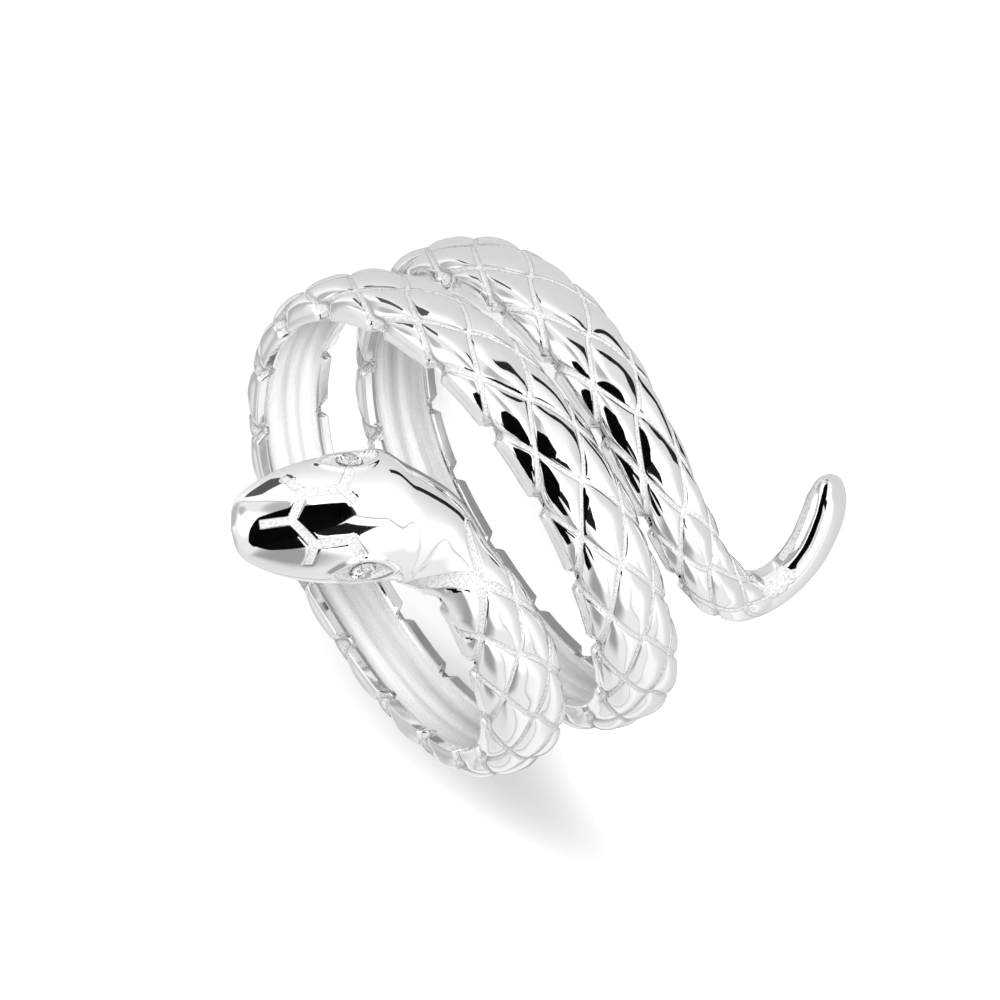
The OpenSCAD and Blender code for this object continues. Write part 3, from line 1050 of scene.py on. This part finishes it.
class SNAKERING_OT_body(bpy.types.Operator):
    """Builds the cast silver snake with its scales, head and hollow back"""

    bl_idname = "snakering.body"
    bl_label = "Snake Body"

    def execute(self, context):
        scene = context.scene
        points, faces, values = snake_mesh(scene.snake_band)
        body = mesh_from("snake_silver", lying(points), faces)
        for name, value in zip(STORED_VALUES, values):
            store(body, name, value)
        body.data.shade_smooth()
        body.data.materials.append(silver_material(scene.snake_metal))
        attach(body, "root")
        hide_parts("snake_body")
        return {"FINISHED"}


class SNAKERING_OT_stones(bpy.types.Operator):
    """Gives the eye stones their clear glassy finish"""

    bl_idname = "snakering.stones"
    bl_label = "Eye Stones"

    def execute(self, context):
        material = stone_material(context.scene.snake_stone)
        for name in ("eye_stone_left", "eye_stone_right"):
            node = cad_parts[name]
            node.data.materials.clear()
            node.data.materials.append(material)
        return {"FINISHED"}


def add_panel(name, corners, material, shade=False):
    """A flat panel that shows only in the reflections, or one that only shades the floor."""
    mesh = bpy.data.meshes.new(name)
    made = bmesh.new()
    made.faces.new([made.verts.new(c) for c in corners])
    made.to_mesh(mesh)
    made.free()
    panel = add_object(name, mesh)
    panel.visible_camera = False
    panel.visible_diffuse = shade
    panel.visible_shadow = shade
    panel.visible_glossy = not shade
    panel.visible_transmission = False
    mesh.materials.append(material)


def card_corner(across, up):
    """Corner of a dark card near the ring, from the place across and up on the card."""
    a, e = math.radians(CARD_AZIMUTH), math.radians(CARD_ELEVATION)
    towards = Vector((math.cos(a) * math.cos(e), math.sin(a) * math.cos(e), math.sin(e)))
    side = Vector((-math.sin(a), math.cos(a), 0))
    rise = towards.cross(side)
    return (Vector((0, 0, CARD_LEVEL)) + towards * CARD_DISTANCE + side * across + rise * up) * MM


def dull_black(name):
    """A black material that mirrors nothing."""
    material, tree, shader = new_material(name)
    shader.inputs["Base Color"].default_value = BLACK
    shader.inputs["Roughness"].default_value = 1
    shader.inputs["Specular IOR Level"].default_value = 0
    return material, tree, shader


def card_material(name, brightness):
    """An even glow, nearly black on the dark cards."""
    material, _, shader = dull_black(name)
    shader.inputs["Emission Color"].default_value = WHITE
    shader.inputs["Emission Strength"].default_value = brightness
    return material


def shade_material():
    """Black in the middle of the card and clear at its rim."""
    material, tree, shader = dull_black("card_shade")
    place = tree.nodes.new("ShaderNodeTexCoord").outputs["Object"]
    shares = tree.nodes.new("ShaderNodeMapping")
    shares.vector_type = "TEXTURE"
    shares.inputs["Location"].default_value = SHADE_MIDDLE
    shares.inputs["Scale"].default_value = (*SHADE_REACH, 1)
    tree.links.new(place, shares.inputs["Vector"])
    reach = distance_node(tree, shares.outputs["Vector"])
    tree.links.new(map_range(tree, reach, *SHADE_FADE, 1, 0), shader.inputs["Alpha"])
    return material


def sky_patch_group():
    """Node group that lays one soft oval patch over the brightness of the sky."""
    group = bpy.data.node_groups.new("sky_patch", "ShaderNodeTree")
    group.interface.new_socket("Direction", in_out="INPUT", socket_type="NodeSocketVector")
    for name in ("Brightness Below", "Azimuth", "Elevation", "Half Width", "Half Height", "Brightness"):
        group.interface.new_socket(name, in_out="INPUT", socket_type="NodeSocketFloat")
    group.interface.new_socket("Brightness", in_out="OUTPUT", socket_type="NodeSocketFloat")
    given = group.nodes.new("NodeGroupInput")
    result = group.nodes.new("NodeGroupOutput")
    turned = given.outputs["Direction"]
    back = math_node(group, "MULTIPLY", given.outputs["Azimuth"], -1)
    for axis, angle in (("Z_AXIS", back), ("Y_AXIS", given.outputs["Elevation"])):
        turn = group.nodes.new("ShaderNodeVectorRotate")
        turn.rotation_type = axis
        group.links.new(turned, turn.inputs["Vector"])
        group.links.new(angle, turn.inputs["Angle"])
        turned = turn.outputs["Vector"]
    split = group.nodes.new("ShaderNodeSeparateXYZ")
    group.links.new(turned, split.inputs["Vector"])
    across = math_node(group, "ARCTAN2", split.outputs["Y"], split.outputs["X"])
    up = math_node(group, "ARCSINE", split.outputs["Z"], 0)
    across = math_node(group, "DIVIDE", across, given.outputs["Half Width"])
    up = math_node(group, "DIVIDE", up, given.outputs["Half Height"])
    square = math_node(group, "ADD", math_node(group, "MULTIPLY", across, across),
                       math_node(group, "MULTIPLY", up, up))
    share = map_range(group, square, *PATCH_FADE, 1, 0)
    mixed = mix_node(group, "FLOAT", share, given.outputs["Brightness Below"], given.outputs["Brightness"])
    group.links.new(mixed, result.inputs["Brightness"])
    return group


def studio_sky(plain):
    """Even light for the floor and the camera, with soft patches for the polish to reflect."""
    world = bpy.data.worlds.new("studio_sky")
    world.use_nodes = True
    tree = world.node_tree
    background = tree.nodes["Background"]
    background.inputs["Color"].default_value = WHITE
    direction = tree.nodes.new("ShaderNodeTexCoord").outputs["Generated"]
    group = sky_patch_group()
    brightness = SKY_BASE
    for *degrees, level in SKY_PATCHES:
        patch = tree.nodes.new("ShaderNodeGroup")
        patch.node_tree = group
        angles = [math.radians(angle) for angle in degrees]
        for socket, value in zip(patch.inputs, (direction, brightness, *angles, level)):
            feed(tree, socket, value)
        brightness = patch.outputs["Brightness"]
    rays = tree.nodes.new("ShaderNodeLightPath")
    even = math_node(tree, "MAXIMUM", rays.outputs["Is Camera Ray"], rays.outputs["Is Diffuse Ray"])
    strength = mix_node(tree, "FLOAT", even, brightness, plain)
    tree.links.new(strength, background.inputs["Strength"])
    return world


def floor_material(studio):
    """Pale floor, with painted shade near the ring in its reflections, that glows a little to the camera.
    """
    material, tree, shader = new_material("pale_floor")
    shader.inputs["Roughness"].default_value = FLOOR_ROUGHNESS
    rays = tree.nodes.new("ShaderNodeLightPath")
    reach = distance_node(tree, tree.nodes.new("ShaderNodeTexCoord").outputs["Object"])
    # Painted shade: the floor seen in the silver is darker near the ring and brighter far off
    share = map_range(tree, reach, *MIRROR_SHADE_FADE, studio.mirrored_shade_near, studio.mirrored_far)
    pale = (*studio.floor, 1)
    painted_mirror = mix_node(tree, "RGBA", share, BLACK, pale)
    colour = mix_node(tree, "RGBA", rays.outputs["Is Glossy Ray"], pale, painted_mirror)
    tree.links.new(colour, shader.inputs["Base Color"])
    glow = mix_node(tree, "RGBA", rays.outputs["Is Camera Ray"], BLACK, (*[studio.glow] * 3, 1))
    tree.links.new(glow, shader.inputs["Emission Color"])
    shader.inputs["Emission Strength"].default_value = 1
    return material


def add_floor(studio):
    """The wide pale floor."""
    mesh = bpy.data.meshes.new("floor")
    made = bmesh.new()
    bmesh.ops.create_grid(made, x_segments=FLOOR_SQUARES, y_segments=FLOOR_SQUARES, size=FLOOR_REACH)
    made.to_mesh(mesh)
    made.free()
    floor = add_object("floor", mesh)
    mesh.materials.append(floor_material(studio))


def add_key(studio):
    """The soft lamp, which the silver doesn't mirror."""
    light = bpy.data.lights.new("key_light", "AREA")
    light.size = studio.key_size
    light.energy = studio.key_power
    lamp = add_object("key_light", light)
    lamp.location = KEY_PLACE
    lamp.rotation_mode = "QUATERNION"
    lamp.rotation_quaternion = Vector(KEY_PLACE).to_track_quat("Z", "Y")
    lamp.visible_glossy = False


def add_cards():
    """Cards and floor strips for the reflections, and the card that shades the floor."""
    for name, brightness, *corners in CARDS:
        corners = [card_corner(*corner) for corner in corners]
        add_panel(name, corners, card_material(name, brightness))
    for name, brightness, *corners in FLOOR_STRIPS:
        corners = [Vector((x * MM, y * MM, STRIP_LEVEL)) for x, y in corners]
        add_panel(name, corners, card_material(name, brightness))
    corners = [Vector(SHADE_MIDDLE) + Vector((x * SHADE_REACH[0], y * SHADE_REACH[1], 0))
               for x, y in ((-1, -1), (1, -1), (1, 1), (-1, 1))]
    add_panel("card_shade", corners, shade_material(), shade=True)


def add_camera():
    """The camera at the photograph's angle to the ring."""
    data = bpy.data.cameras.new("photo_camera")
    data.lens = CAMERA_LENS
    data.sensor_width = CAMERA_SENSOR
    data.shift_x, data.shift_y = CAMERA_SHIFT
    data.clip_start, data.clip_end = CAMERA_CLIP
    camera = add_object("photo_camera", data)
    right = lying_direction(CAMERA_RIGHT).normalized()
    down = lying_direction(CAMERA_DOWN)
    down = (down - right * down.dot(right)).normalized()
    turn = Matrix((right, -down, right.cross(-down))).transposed()
    place = Vector(lying(np.array([CAMERA_PLACE]))[0])
    camera.matrix_world = Matrix.Translation(place) @ turn.to_4x4()
    bpy.context.scene.camera = camera


class SNAKERING_OT_studio(bpy.types.Operator):
    """Sets up the pale floor, the soft light, the cards and the camera"""

    bl_idname = "snakering.studio"
    bl_label = "Studio"

    def execute(self, context):
        scene = context.scene
        scene.view_settings.view_transform = "Standard"
        scene.world = studio_sky(scene.snake_studio.sky)
        add_floor(scene.snake_studio)
        add_key(scene.snake_studio)
        add_cards()
        add_camera()
        return {"FINISHED"}


class SNAKERING_PT_panel(bpy.types.Panel):
    """Lists the builders of the ring"""

    bl_label = "Snake Ring"
    bl_idname = "SNAKERING_PT_panel"
    bl_space_type = "VIEW_3D"
    bl_region_type = "UI"
    bl_category = "Snake Ring"

    def draw(self, context):
        for name, _ in GROUPS:
            settings = getattr(context.scene, name)
            for key in settings.__annotations__:
                self.layout.prop(settings, key)
        for operator in OPERATORS:
            self.layout.operator(operator.bl_idname)


GROUPS = (
    ("snake_band", SnakeRingBand),
    ("snake_metal", SnakeRingMetal),
    ("snake_stone", SnakeRingStone),
    ("snake_studio", SnakeRingStudio),
)
OPERATORS = (SNAKERING_OT_body, SNAKERING_OT_stones, SNAKERING_OT_studio)


def register():
    for name, group in GROUPS:
        bpy.utils.register_class(group)
        setattr(bpy.types.Scene, name, PointerProperty(type=group))
    for operator in OPERATORS:
        bpy.utils.register_class(operator)
    bpy.utils.register_class(SNAKERING_PT_panel)


def unregister():
    bpy.utils.unregister_class(SNAKERING_PT_panel)
    for operator in reversed(OPERATORS):
        bpy.utils.unregister_class(operator)
    for name, group in reversed(GROUPS):
        delattr(bpy.types.Scene, name)
        bpy.utils.unregister_class(group)


def main():
    register()
    bpy.ops.snakering.body()
    bpy.ops.snakering.stones()
    bpy.ops.snakering.studio()


if __name__ == "__main__":
    main()
